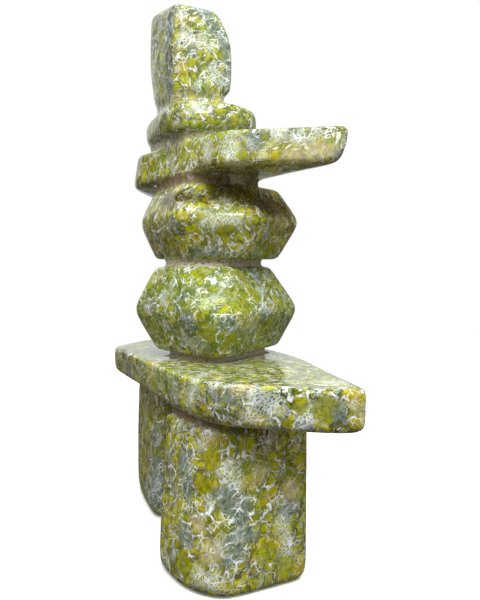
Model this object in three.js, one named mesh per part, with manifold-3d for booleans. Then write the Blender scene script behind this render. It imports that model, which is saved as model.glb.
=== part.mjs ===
// An inuksuk: a standing figure of stacked stones, carved from a single block of green serpentine.
// Two legs carry a hip slab, two faceted body stones, an arm slab, a collar stone and an upright head.
// Narrow ground grooves part one stone from the next, so the carving stays one solid.
//
// Millimetres, Z up. The figure faces -Y and its arms run along X. "Near" is the +X end, "far" the -X end.
// Each stone is ground to flats. A flat looks along its azimuth, in degrees from +X towards +Y, and stands
// at its reach from the stone's centre, as a share of the stone's length. Its lean, in degrees, tips it
// upwards (+) or downwards (-).

import * as THREE from 'three';
import { ConvexGeometry } from 'three/addons/geometries/ConvexGeometry.js';
import { mergeVertices } from 'three/addons/utils/BufferGeometryUtils.js';
import Module from 'manifold-3d';

// Height of each stone
const LEG_TALL = 61.8;
const HIP_THICK = 13.8;
const LOWER_STONE_TALL = 39.6;
const UPPER_STONE_TALL = 32.4;
const ARM_THICK = 16.8;
const COLLAR_THICK = 14;
const HEAD_TALL = 41.8;

// Length of each stone from its far end to its near end
const NEAR_LEG_LONG = 41;
const FAR_LEG_LONG = 49;
const HIP_LONG = 183;
const LOWER_STONE_LONG = 88;
const UPPER_STONE_LONG = 84;
const ARM_SPAN = 131;
const COLLAR_LONG = 65;
const HEAD_LONG = 46;

// Where the stones stand off the axis of the stack: towards the near or far end, and forward
const NEAR_LEG_OUT = 48;
const NEAR_LEG_FORWARD = 10;
const FAR_LEG_OUT = 28;
const FAR_LEG_FORWARD = 6;
const HIP_NEAR = 8;
const HIP_FORWARD = 3;
const COLLAR_FAR = 2;
const COLLAR_FORWARD = 5;
const HEAD_FAR = 3;
const HEAD_FORWARD = 9;

// Height of each groove between two stones
const LEG_GROOVE = 3;
const HIP_GROOVE = 1.6;
const WAIST_GROOVE = 2.7;
const SHOULDER_GROOVE = 2.6;
const COLLAR_GROOVE = 2.7;
const HEAD_GROOVE = 2.8;

// How far each groove is ground in from the smaller of its two stones, and from the slab beside it
const LEG_GROOVE_DEPTH = 3;
const HIP_GROOVE_DEPTH = 4.4;
const WAIST_GROOVE_DEPTH = 2.2;
const SHOULDER_GROOVE_DEPTH = 2.2;
const COLLAR_GROOVE_DEPTH = 3.5;
const HEAD_GROOVE_DEPTH = 1.5;
const SLAB_GROOVE_DEPTH = 0.5;

// The grooves are ground deeper behind than in front, so that the necks stand this far forward.
const BODY_NECK_FORWARD = 2;
const HIP_NECK_FORWARD = 0.5;
const SMALL_NECK_FORWARD = 1;

// How softly an edge is polished. A square edge is rounded to a radius of about 2.4 times this.
const CRISP = 0.8;
const EASED = 1.5;
const WORN = 2.2;

// The soles are ground off by this much, so that both legs stand flat.
const SOLE_GRIND = 0.3;

// Levels, from the floor up
const HIP_BASE = LEG_TALL + LEG_GROOVE;
const LOWER_STONE_BASE = HIP_BASE + HIP_THICK + HIP_GROOVE;
const UPPER_STONE_BASE = LOWER_STONE_BASE + LOWER_STONE_TALL + WAIST_GROOVE;
const ARM_BASE = UPPER_STONE_BASE + UPPER_STONE_TALL + SHOULDER_GROOVE;
const COLLAR_BASE = ARM_BASE + ARM_THICK + COLLAR_GROOVE;
const HEAD_BASE = COLLAR_BASE + COLLAR_THICK + HEAD_GROOVE;

// The mesh follows each sharp edge in lines, at these multiples of its softness, with a point this many
// softnesses from each corner.
const EDGE_LINES = [0, 1, 3];
const CORNER_LAND = 3;

// A groove's outline: its sides, how softly its corners turn, and how far its neck runs into both stones
const GROOVE_SIDES = 40;
const GROOVE_TURN = 1.5;
const NECK_BURIED = 3;

// The smallest angle between two flats, and the smallest distance, that count
const PARALLEL = 1e-4;
const TOUCHING = 1e-5;
const HALVINGS = 26;

const wasm = await Module();
wasm.setup();
const radians = THREE.MathUtils.degToRad;

const flat = (azimuth, reach, lean = 0) => ({ azimuth, reach, lean });
const ridge = (azimuth, reach, above, below) => [flat(azimuth, reach, above), flat(azimuth, reach, -below)];

// The stones. The girdle is where the reaches are taken, as a share of the height. round says how softly
// the edges are polished: between two sides, at the top and at the underside.
const nearLeg = {
  centre: [NEAR_LEG_OUT, -NEAR_LEG_FORWARD],
  base: -SOLE_GRIND,
  tall: LEG_TALL + SOLE_GRIND,
  long: NEAR_LEG_LONG,
  girdle: 0.5,
  round: { sides: WORN, top: CRISP, under: WORN },
  flats: [
    flat(3, 0.622, 2), flat(-48, 0.724, 2), flat(-81, 0.666, 4.5),
    flat(181, 0.283, -2.5), flat(93, 0.495, -1.5),
  ],
};

const farLeg = {
  centre: [-FAR_LEG_OUT, -FAR_LEG_FORWARD],
  base: -SOLE_GRIND,
  tall: LEG_TALL + SOLE_GRIND,
  long: FAR_LEG_LONG,
  girdle: 0.5,
  round: { sides: WORN, top: CRISP, under: WORN },
  flats: [flat(0, 0.53), flat(-89, 0.459, 5), flat(-102, 0.52, -2), flat(180, 0.469), flat(88, 0.449)],
};

const hipSlab = {
  centre: [HIP_NEAR, -HIP_FORWARD],
  base: HIP_BASE,
  tall: HIP_THICK,
  long: HIP_LONG,
  girdle: 0.5,
  round: { sides: EASED, top: CRISP, under: EASED },
  crown: { towards: 142, slope: 1.5 },
  flats: [
    flat(-38, 0.398), flat(-13, 0.508), flat(29, 0.514), flat(77, 0.208), flat(90, 0.197),
    flat(150, 0.421), flat(194, 0.448), flat(229, 0.343), flat(-88, 0.19), flat(-73, 0.254),
  ],
};

const lowerStone = {
  centre: [0, 0],
  base: LOWER_STONE_BASE,
  tall: LOWER_STONE_TALL,
  long: LOWER_STONE_LONG,
  girdle: 0.5,
  round: { sides: EASED, top: CRISP, under: CRISP },
  flats: [
    ...ridge(-21, 0.523, 39, 23.5), ...ridge(35, 0.403, 34, 28), ...ridge(85, 0.438, 31, 23.5),
    ...ridge(142, 0.432, 28, 25), ...ridge(214, 0.318, 29.5, 29), ...ridge(-71, 0.398, 17, 21),
  ],
};

const upperStone = {
  centre: [0, 0],
  base: UPPER_STONE_BASE,
  tall: UPPER_STONE_TALL,
  long: UPPER_STONE_LONG,
  girdle: 0.54,
  round: { sides: EASED, top: CRISP, under: CRISP },
  flats: [
    ...ridge(-25, 0.452, 27, 25), ...ridge(34, 0.446, 30, 28), ...ridge(91, 0.423, 34, 28),
    ...ridge(150, 0.429, 28, 25), ...ridge(210, 0.405, 26, 24), ...ridge(-86, 0.369, 24, 21),
  ],
};

const armSlab = {
  centre: [0, 0],
  base: ARM_BASE,
  tall: ARM_THICK,
  long: ARM_SPAN,
  girdle: 0.52,
  round: { sides: EASED, top: CRISP, under: EASED },
  under: { towards: -40, slope: 2.5 },
  flats: [
    flat(-34, 0.332, 7), flat(41, 0.555, -33), flat(103, 0.098, -5.5),
    flat(180, 0.455), flat(-125, 0.344, 9), flat(-100, 0.272, 8), flat(-76, 0.183, 9.5),
  ],
};

const collarStone = {
  centre: [-COLLAR_FAR, -COLLAR_FORWARD],
  base: COLLAR_BASE,
  tall: COLLAR_THICK,
  long: COLLAR_LONG,
  girdle: 0.5,
  round: { sides: WORN, top: WORN, under: WORN },
  flats: [
    flat(-19, 0.385), flat(37, 0.408), flat(99, 0.3), flat(160, 0.462),
    flat(218, 0.546), flat(-91, 0.338), flat(-62, 0.4),
  ],
};

const headStone = {
  centre: [-HEAD_FAR, -HEAD_FORWARD],
  base: HEAD_BASE,
  tall: HEAD_TALL,
  long: HEAD_LONG,
  girdle: 0.58,
  round: { sides: EASED, top: EASED, under: EASED },
  crown: { towards: 33, slope: 12 },
  flats: [
    flat(-15, 0.402, 8.5), flat(70, 0.38, 25.5), flat(83, 0.304, -4),
    flat(165, 0.413, 0.5), flat(-122, 0.575, -14), flat(-88, 0.326, 2.5),
  ],
};

// The plane of a cap that faces up (+1) or down (-1), turned from level towards an azimuth by its slope.
function capPlane({ towards, slope }, [x, y], height, up) {
  const out = Math.sin(radians(slope));
  const normal = new THREE.Vector3(
    out * Math.cos(radians(towards)), out * Math.sin(radians(towards)), up * Math.cos(radians(slope)),
  );
  return new THREE.Plane().setFromNormalAndCoplanarPoint(normal, new THREE.Vector3(x, y, height));
}

// The planes that a stone is ground to, each facing out, and its middle at the girdle.
function planesOf({ centre, base, tall, long, girdle, flats, crown, under }) {
  const level = { towards: 0, slope: 0 };
  const middle = new THREE.Vector3(...centre, base + tall * girdle);
  const sides = flats.map(({ azimuth, reach, lean }) => {
    const out = new THREE.Vector3(Math.cos(radians(azimuth)), Math.sin(radians(azimuth)), 0);
    const foot = middle.clone().addScaledVector(out, reach * long);
    const normal = out.multiplyScalar(Math.cos(radians(lean))).setZ(Math.sin(radians(lean)));
    return new THREE.Plane().setFromNormalAndCoplanarPoint(normal, foot);
  });
  const top = capPlane(crown ?? level, centre, base + tall, 1);
  const bottom = capPlane(under ?? level, centre, base, -1);
  return { middle, sides, top, bottom };
}

// The largest of several distances, with the change from one to the next rounded off.
function softMax(distances, softness) {
  const most = Math.max(...distances);
  const share = distances.reduce((sum, distance) => sum + Math.exp((distance - most) / softness), 0);
  return most + softness * Math.log(share);
}

// How far a point stands outside the polished stone.
function outsideStone({ sides, top, bottom }, round, point) {
  const body = softMax(sides.map((plane) => plane.distanceToPoint(point)), round.sides);
  const topped = softMax([body, top.distanceToPoint(point)], round.top);
  return softMax([topped, bottom.distanceToPoint(point)], round.under);
}

// The point where a surface lies between a middle, which is inside it, and a rim, which is outside.
function settle(middle, rim, outside) {
  let inner = 0;
  let outer = 1;
  for (let halving = 0; halving < HALVINGS; halving++) {
    const half = (inner + outer) / 2;
    if (outside(middle.clone().lerp(rim, half)) < 0) inner = half;
    else outer = half;
  }
  return middle.clone().lerp(rim, inner);
}

// Every corner of the block while its edges are still sharp.
function sharpCorners(planes) {
  const corners = [];
  planes.forEach((a, i) => planes.slice(0, i).forEach((b, j) => planes.slice(0, j).forEach((c) => {
    const normals = new THREE.Matrix3().set(...a.normal, ...b.normal, ...c.normal);
    if (Math.abs(normals.determinant()) < PARALLEL) return;
    const corner = new THREE.Vector3(-a.constant, -b.constant, -c.constant).applyMatrix3(normals.invert());
    const onBlock = planes.every((plane) => plane.distanceToPoint(corner) < TOUCHING);
    const isNew = corners.every((other) => other.distanceTo(corner) > TOUCHING);
    if (onBlock && isNew) corners.push(corner);
  })));
  return corners;
}

// The corners of one face of the sharp block, in order, anticlockwise as seen from outside.
function faceOutline(plane, corners) {
  const face = corners.filter((corner) => Math.abs(plane.distanceToPoint(corner)) < TOUCHING);
  if (face.length < 3) return [];
  const sum = face.reduce((total, corner) => total.add(corner), new THREE.Vector3());
  const middle = sum.divideScalar(face.length);
  const across = face[0].clone().sub(middle).normalize();
  const along = plane.normal.clone().cross(across);
  const turn = (corner) => {
    const arm = corner.clone().sub(middle);
    return Math.atan2(arm.dot(along), arm.dot(across));
  };
  return face.sort((a, b) => turn(a) - turn(b));
}

// A face's outline moved inwards, with a further point beside each of its corners.
function edgeLine(plane, outline, inset, land) {
  const inward = outline.map((corner, i) => {
    const edge = outline[(i + 1) % outline.length].clone().sub(corner).normalize();
    return plane.normal.clone().cross(edge);
  });
  const moved = outline.map((corner, i) => {
    const before = inward.at(i - 1);
    const mitre = before.clone().add(inward[i]).divideScalar(1 + before.dot(inward[i]));
    return corner.clone().addScaledVector(mitre, inset);
  });
  return moved.flatMap((corner, i) => {
    const next = moved[(i + 1) % moved.length];
    const share = land / corner.distanceTo(next);
    const beside = share < 0.5 ? [share, 1 - share] : [];
    return [0, ...beside].map((stop) => corner.clone().lerp(next, stop));
  });
}

// A manifold solid from a closed geometry.
function solid(geometry) {
  geometry.deleteAttribute('normal');
  geometry.deleteAttribute('uv');
  const merged = mergeVertices(geometry, TOUCHING);
  return new wasm.Manifold(new wasm.Mesh({
    numProp: 3,
    vertProperties: merged.attributes.position.array,
    triVerts: Uint32Array.from(merged.index.array),
  }));
}

// One stone: its sharp block drawn in to the polished surface.
function stoneSolid(stone) {
  const planes = planesOf(stone);
  const faces = [...planes.sides, planes.top, planes.bottom];
  const corners = sharpCorners(faces);
  const softness = stone.round.sides;
  const sharp = faces.flatMap((plane) => EDGE_LINES.flatMap((line) => (
    edgeLine(plane, faceOutline(plane, corners), line * softness, CORNER_LAND * softness)
  )));
  const polished = sharp.map((rim) => (
    settle(planes.middle, rim, (point) => outsideStone(planes, stone.round, point))
  ));
  return solid(new ConvexGeometry(polished));
}

// The neck that a groove leaves between two stones. The groove is ground in all round, to its depth from the
// smaller stone, and the neck then stands a little forward.
function neckSolid({ below, above, smaller, depth, forward }) {
  const floor = below.base + below.tall;
  const ceiling = above.base;
  const groundIn = (stone, level, point) => {
    const inset = stone === smaller ? depth : SLAB_GROOVE_DEPTH;
    const onStone = new THREE.Vector3(point.x, point.y + forward, level);
    return planesOf(stone).sides.map((plane) => plane.distanceToPoint(onStone) + inset);
  };
  const outside = (point) => (
    softMax([...groundIn(below, floor, point), ...groundIn(above, ceiling, point)], GROOVE_TURN)
  );
  const middle = new THREE.Vector3(...smaller.centre, floor);
  const outline = new THREE.Shape(Array.from({ length: GROOVE_SIDES }, (_, side) => {
    const angle = side / GROOVE_SIDES * 2 * Math.PI;
    const rim = new THREE.Vector3(Math.cos(angle), Math.sin(angle), 0).multiplyScalar(HIP_LONG).add(middle);
    const { x, y } = settle(middle, rim, outside);
    return new THREE.Vector2(x, y);
  }));
  const tall = ceiling - floor + 2 * NECK_BURIED;
  const neck = new THREE.ExtrudeGeometry(outline, { depth: tall, bevelEnabled: false });
  return solid(neck.translate(0, 0, floor - NECK_BURIED));
}

// Everything below the floor, to grind the soles flat.
function floorSolid() {
  const block = new THREE.BoxGeometry(2 * HIP_LONG, 2 * HIP_LONG, 2 * LEG_TALL);
  return solid(block.translate(0, 0, -LEG_TALL));
}

function carvingGeometry() {
  const stones = [nearLeg, farLeg, hipSlab, lowerStone, upperStone, armSlab, collarStone, headStone];
  const leg = { depth: LEG_GROOVE_DEPTH, forward: SMALL_NECK_FORWARD };
  const hip = { depth: HIP_GROOVE_DEPTH, forward: HIP_NECK_FORWARD };
  const waist = { depth: WAIST_GROOVE_DEPTH, forward: BODY_NECK_FORWARD };
  const shoulder = { depth: SHOULDER_GROOVE_DEPTH, forward: BODY_NECK_FORWARD };
  const collar = { depth: COLLAR_GROOVE_DEPTH, forward: SMALL_NECK_FORWARD };
  const head = { depth: HEAD_GROOVE_DEPTH, forward: SMALL_NECK_FORWARD };
  const necks = [
    { below: nearLeg, above: hipSlab, smaller: nearLeg, ...leg },
    { below: farLeg, above: hipSlab, smaller: farLeg, ...leg },
    { below: hipSlab, above: lowerStone, smaller: lowerStone, ...hip },
    { below: lowerStone, above: upperStone, smaller: upperStone, ...waist },
    { below: upperStone, above: armSlab, smaller: upperStone, ...shoulder },
    { below: armSlab, above: collarStone, smaller: collarStone, ...collar },
    { below: collarStone, above: headStone, smaller: headStone, ...head },
  ];
  const whole = [...stones.map(stoneSolid), ...necks.map(neckSolid)]
    .reduce((carving, piece) => carving.add(piece))
    .subtract(floorSolid());
  const { vertProperties, triVerts } = whole.getMesh();
  const geometry = new THREE.BufferGeometry();
  geometry.setAttribute('position', new THREE.BufferAttribute(vertProperties, 3));
  geometry.setIndex(new THREE.BufferAttribute(triVerts, 1));
  geometry.computeVertexNormals();
  return geometry;
}

const serpentine = new THREE.MeshStandardMaterial({ color: 0x8a9440, roughness: 0.28, metalness: 0 });
const carving = new THREE.Mesh(carvingGeometry(), serpentine);
carving.name = 'inukshuk_carving';

// The origin is on the floor, under the middle of the carving's length and breadth.
const middle = new THREE.Box3().setFromObject(carving).getCenter(new THREE.Vector3());
carving.position.set(-middle.x, -middle.y, 0);

const group = new THREE.Group();
group.add(carving);

export default group;
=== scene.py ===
"""An inuksuk carved from one block of green serpentine, polished, and set on a pale studio floor.

The carving is worked out in millimetres in the stack's own axes: Z is up, the figure faces -Y, and its arms
run along X with the near end at +X. Eight stones are ground to flats, seven grooves part them, and all of it
is one piece of rock. The scene holds it in metres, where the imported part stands.
"""
import logging
from dataclasses import dataclass, field
from enum import Enum
from functools import cached_property, partial, reduce
from typing import Sequence

import bpy
import numpy as np
from mathutils import Euler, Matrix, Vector


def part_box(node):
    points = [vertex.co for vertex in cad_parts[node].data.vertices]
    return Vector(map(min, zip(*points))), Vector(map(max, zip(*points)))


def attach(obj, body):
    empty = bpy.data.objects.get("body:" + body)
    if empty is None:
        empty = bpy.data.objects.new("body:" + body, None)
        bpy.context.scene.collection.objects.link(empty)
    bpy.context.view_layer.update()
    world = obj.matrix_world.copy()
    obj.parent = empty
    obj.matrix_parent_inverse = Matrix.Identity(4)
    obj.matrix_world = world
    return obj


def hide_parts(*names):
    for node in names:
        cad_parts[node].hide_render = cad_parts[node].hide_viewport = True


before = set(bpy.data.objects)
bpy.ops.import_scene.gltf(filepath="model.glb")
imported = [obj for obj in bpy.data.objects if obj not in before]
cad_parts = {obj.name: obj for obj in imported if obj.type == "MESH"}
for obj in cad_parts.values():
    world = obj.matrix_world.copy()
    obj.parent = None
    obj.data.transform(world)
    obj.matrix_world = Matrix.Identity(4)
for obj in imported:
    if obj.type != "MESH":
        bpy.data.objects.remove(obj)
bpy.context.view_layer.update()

NODE = "inukshuk_carving"
BODY = "root"
MM = 0.001
LATTICE = 32
HALVINGS = 24

Array = np.ndarray
Point = tuple[float, float, float]
Colour = tuple[float, float, float]
RGBA = tuple[float, float, float, float]
Socket = bpy.types.NodeSocket
Value = float | Socket
Inputs = dict[str | int, object]
log = logging.getLogger("inuksuk")


@dataclass(frozen=True)
class Reading:
    """How far each of many points stands outside a form, in mm, and the direction in which that grows."""

    far: Array
    out: Array


def soft_most(far: Array, out: Array, softness: float) -> Reading:
    """Takes the largest of several distances, with the change from one to the next rounded off.

    The largest is most + softness * log(sum(exp((distance - most) / softness))), and its direction is the
    mean of theirs, weighted by the same exponentials. A negative softness takes the smallest instead.

    Args:
        far: the distances, a column for each form.
        out: their directions, (forms, 3) where each is the same everywhere, otherwise (points, forms, 3).
        softness: how far, in mm, the rounding reaches.

    Returns:
        The rounded largest distance and its direction at each point.
    """
    most = far.max(axis=1, keepdims=True) if softness > 0 else far.min(axis=1, keepdims=True)
    weight = np.exp((far - most) / softness)
    total = weight.sum(axis=1, keepdims=True)
    share = weight / total
    mean = share @ out if out.ndim == 2 else np.einsum("pf,pfx->px", share, out)
    return Reading((most + softness * np.log(total))[:, 0], mean)


def joined(readings: Sequence[Reading], softness: float) -> Reading:
    """Puts several readings of the same points through soft_most.

    Args:
        readings: one reading for each form.
        softness: as in soft_most.

    Returns:
        The rounded largest or smallest of them.
    """
    far = np.stack([reading.far for reading in readings], axis=1)
    out = np.stack([np.broadcast_to(reading.out, (len(far), 3)) for reading in readings], axis=1)
    return soft_most(far, out, softness)


def waves(points: Array, length: float, seed: int) -> Array:
    """Smooth random waves: random heights on a cubic lattice, eased from one to the next along each axis.

    Args:
        points: where to read them, (points, 3) in mm.
        length: the lattice's pitch in mm, which is half a wave.
        seed: which of many such fields. It shifts the lattice too.

    Returns:
        A height between -1 and 1 for each point.
    """
    lattice = np.random.RandomState(seed).uniform(-1, 1, (LATTICE, LATTICE, LATTICE))
    place = points / length + seed
    cell = np.floor(place).astype(int)
    ease = place - cell
    ease = ease * ease * (3 - 2 * ease)
    total = np.zeros(len(points))
    for corner in np.ndindex(2, 2, 2):
        step = np.array(corner)
        weight = np.prod(np.where(step, ease, 1 - ease), axis=1)
        total += weight * lattice[tuple(((cell + step) % LATTICE).T)]
    return total


def compass(azimuth: float) -> Array:
    """The level unit vector towards an azimuth, in degrees from +X towards +Y."""
    turn = np.radians(azimuth)
    return np.array([np.cos(turn), np.sin(turn), 0.0])


@dataclass(frozen=True)
class Flat:
    """A flat on a stone: which way it looks, how far out it is as a share of the length, and its tip up."""

    azimuth: float
    reach: float
    lean: float = 0.0


@dataclass(frozen=True)
class Slope:
    """How a stone's top or underside is turned from level, in degrees, and towards which azimuth."""

    towards: float = 0.0
    degrees: float = 0.0


class Edge(Enum):
    """How softly an edge is polished, in mm. A square edge is rounded to about 2.4 times this."""

    CRISP = 0.8
    EASED = 1.5
    WORN = 2.2


@dataclass(frozen=True)
class Planes:
    """Several planes, each by its normal and a point on it."""

    normals: Array
    feet: Array

    def distances(self, points: Array) -> Array:
        """How far each point stands beyond each plane, (points, planes)."""
        return points @ self.normals.T - np.sum(self.normals * self.feet, axis=1)


@dataclass(frozen=True)
class Shell:
    """A closed surface: its points in mm and its faces, turned outwards."""

    points: Array
    faces: list[list[int]]


def closed_shell(rows: Array, low: Array, high: Array) -> Shell:
    """Closes rows of points that run round a form, from a pole below them to a pole above.

    Args:
        rows: the points, (rows, columns, 3), upwards and anticlockwise.
        low: the pole below.
        high: the pole above.

    Returns:
        The shell: four-sided faces between rows and a fan of triangles at each pole.
    """
    count, columns = rows.shape[:2]
    ring = np.arange(count * columns).reshape(count, columns)
    after = np.roll(ring, -1, axis=1)
    sides = np.stack([ring[:-1], after[:-1], after[1:], ring[1:]], axis=-1).reshape(-1, 4)
    under = np.stack([after[0], ring[0], np.full(columns, ring.size)], axis=-1)
    over = np.stack([ring[-1], after[-1], np.full(columns, ring.size + 1)], axis=-1)
    points = np.concatenate([rows.reshape(-1, 3), [low, high]])
    return Shell(points, sides.tolist() + under.tolist() + over.tolist())


def settle(start: Array, rays: Array, part: "Stone | Neck", inset: float) -> Array:
    """Finds where rays leave a stone or neck, by halving the stretch that holds the crossing again and again.

    Args:
        start: a point inside it.
        rays: vectors from that point to beyond its surface, (rays, 3).
        part: the stone or neck.
        inset: how far inside its surface a ray is taken to leave it, in mm.

    Returns:
        The point where each ray leaves it.
    """
    inner = np.zeros((len(rays), 1))
    outer = np.ones((len(rays), 1))
    for _ in range(HALVINGS):
        half = (inner + outer) / 2
        within = part.read(start + rays * half).far[:, None] + inset < 0
        inner = np.where(within, half, inner)
        outer = np.where(within, outer, half)
    return start + rays * inner


@dataclass(frozen=True)
class Stone:
    """One stone of the figure: a block between a top and an underside, ground to flats all round.

    Each flat passes through the girdle at its reach. Its edges are polished off by soft_most.
    """

    centre: tuple[float, float]
    base: float
    tall: float
    long: float
    flats: tuple[Flat, ...]
    girdle: float = 0.5
    side_edges: Edge = Edge.EASED
    top_edge: Edge = Edge.CRISP
    under_edge: Edge = Edge.CRISP
    crown: Slope = Slope()
    under: Slope = Slope()
    rows: int = 56
    columns: int = 160

    @property
    def top(self) -> float:
        """The level of the top at the centre."""
        return self.base + self.tall

    @cached_property
    def heart(self) -> Array:
        """The middle of the stone at its girdle."""
        return np.array([*self.centre, self.base + self.tall * self.girdle])

    @cached_property
    def sides(self) -> Planes:
        """Works out the planes of the flats.

        Returns:
            The planes, each turned to its azimuth, then tipped up, through its own point of the girdle.
        """
        outs = np.array([compass(flat.azimuth) for flat in self.flats])
        leans = np.radians([[flat.lean] for flat in self.flats])
        reaches = np.array([[flat.reach * self.long] for flat in self.flats])
        return Planes(outs * np.cos(leans) + [0, 0, 1] * np.sin(leans), self.heart + outs * reaches)

    def cap(self, slope: Slope, height: float, up: int) -> Planes:
        """Works out the plane of the top or the underside.

        Args:
            slope: how it is turned from level.
            height: its level at the centre.
            up: 1 for the top, -1 for the underside.

        Returns:
            The plane.
        """
        tip = np.radians(slope.degrees)
        normal = compass(slope.towards) * np.sin(tip) + np.array([0, 0, up * np.cos(tip)])
        return Planes(normal[None], np.array([[*self.centre, height]]))

    @cached_property
    def caps(self) -> tuple[Planes, Planes]:
        """The planes of the top and the underside."""
        return self.cap(self.crown, self.top, 1), self.cap(self.under, self.base, -1)

    def read(self, points: Array) -> Reading:
        """Reads points against the polished stone: its sides first, then its top, then its underside.

        Args:
            points: (points, 3) in mm in the stack's axes.

        Returns:
            How far they stand outside, and the way out.
        """
        top, bottom = self.caps
        body = soft_most(self.sides.distances(points), self.sides.normals, self.side_edges.value)
        topped = joined([body, Reading(top.distances(points)[:, 0], top.normals)], self.top_edge.value)
        under = Reading(bottom.distances(points)[:, 0], bottom.normals)
        return joined([topped, under], self.under_edge.value)

    def shell(self, inset: float) -> Shell:
        """The stone's surface over azimuth and height angle, drawn in a little.

        A ray leaves the heart along (cos(turn) cos(rise), sin(turn) cos(rise), tall/long sin(rise)), so that
        as many rows meet the sides as the caps, and ends where the stone does.

        Args:
            inset: how far inside the surface the shell lies, in mm.

        Returns:
            The closed shell.
        """
        turn = np.linspace(0, 2 * np.pi, self.columns, endpoint=False)
        rise = np.linspace(-np.pi / 2, np.pi / 2, self.rows + 2)[1:-1, None]
        flatten = self.tall / self.long
        rays = np.stack(np.broadcast_arrays(
            np.cos(turn) * np.cos(rise), np.sin(turn) * np.cos(rise), flatten * np.sin(rise),
        ), axis=-1) * 2 * self.long / min(1, 2 * flatten)
        up = np.array([[0, 0, 2 * self.tall]])
        rows = settle(self.heart, rays.reshape(-1, 3), self, inset).reshape(rays.shape)
        low, high = (settle(self.heart, way, self, inset)[0] for way in (-up, up))
        return closed_shell(rows, low, high)


@dataclass(frozen=True)
class Neck:
    """The rock that a groove leaves between two stones.

    It stands inside every flat of both stones, by the groove's depth from the smaller one and by a little
    from the slab, and then a little forward.
    """

    below: Stone
    above: Stone
    smaller: Stone
    depth: float
    forward: float
    rough: float = 1.0
    spread: float = 0.8
    slab_depth: float = 0.5
    turn: float = 1.5
    end_edge: float = 0.3
    buried: float = 3.0
    rows: int = 7
    columns: int = 96

    @property
    def floor(self) -> float:
        """The level of the stone below."""
        return self.below.top

    @property
    def ceiling(self) -> float:
        """The level of the stone above."""
        return self.above.base

    def inset(self, stone: Stone) -> float:
        """How far the neck stands inside a stone's flats."""
        return self.depth if stone is self.smaller else self.slab_depth

    def read(self, points: Array) -> Reading:
        """Reads points against the neck, a level outline between its two buried ends.

        Args:
            points: (points, 3) in mm in the stack's axes.

        Returns:
            How far they stand outside, and the way out.
        """
        parts = []
        for stone, level in ((self.below, self.floor), (self.above, self.ceiling)):
            moved = points + [0, self.forward, 0]
            moved[:, 2] = level
            parts.append(stone.sides.distances(moved) + self.inset(stone))
        outs = np.concatenate([self.below.sides.normals, self.above.sides.normals]) * [1, 1, 0]
        wall = soft_most(np.concatenate(parts, axis=1), outs, self.turn)
        low = Reading(self.floor - self.buried - points[:, 2], np.array([0, 0, -1]))
        high = Reading(points[:, 2] - self.ceiling - self.buried, np.array([0, 0, 1]))
        return joined([wall, low, high], self.end_edge)

    def shell(self, inset: float) -> Shell:
        """The neck's surface: its level outline carried straight up from one buried end to the other.

        Args:
            inset: how far inside the surface the shell lies, in mm.

        Returns:
            The closed shell.
        """
        turn = np.linspace(0, 2 * np.pi, self.columns, endpoint=False)
        rays = np.column_stack([np.cos(turn), np.sin(turn), np.zeros(turn.size)]) * self.smaller.long
        middle = np.array([*self.smaller.centre, (self.floor + self.ceiling) / 2])
        outline = settle(middle, rays, self, inset)
        levels = np.linspace(self.floor - self.buried + inset, self.ceiling + self.buried - inset, self.rows)
        rows = np.broadcast_to(outline, (levels.size, *outline.shape)).copy()
        rows[..., 2] = levels[:, None]
        low, high = ([*self.smaller.centre, level] for level in levels[[0, -1]])
        return closed_shell(rows, np.array(low), np.array(high))


def ridge(azimuth: float, reach: float, above: float, below: float) -> tuple[Flat, Flat]:
    """Two flats that meet in a ridge at the girdle, one tipped up and one tipped down."""
    return Flat(azimuth, reach, above), Flat(azimuth, reach, -below)


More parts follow.
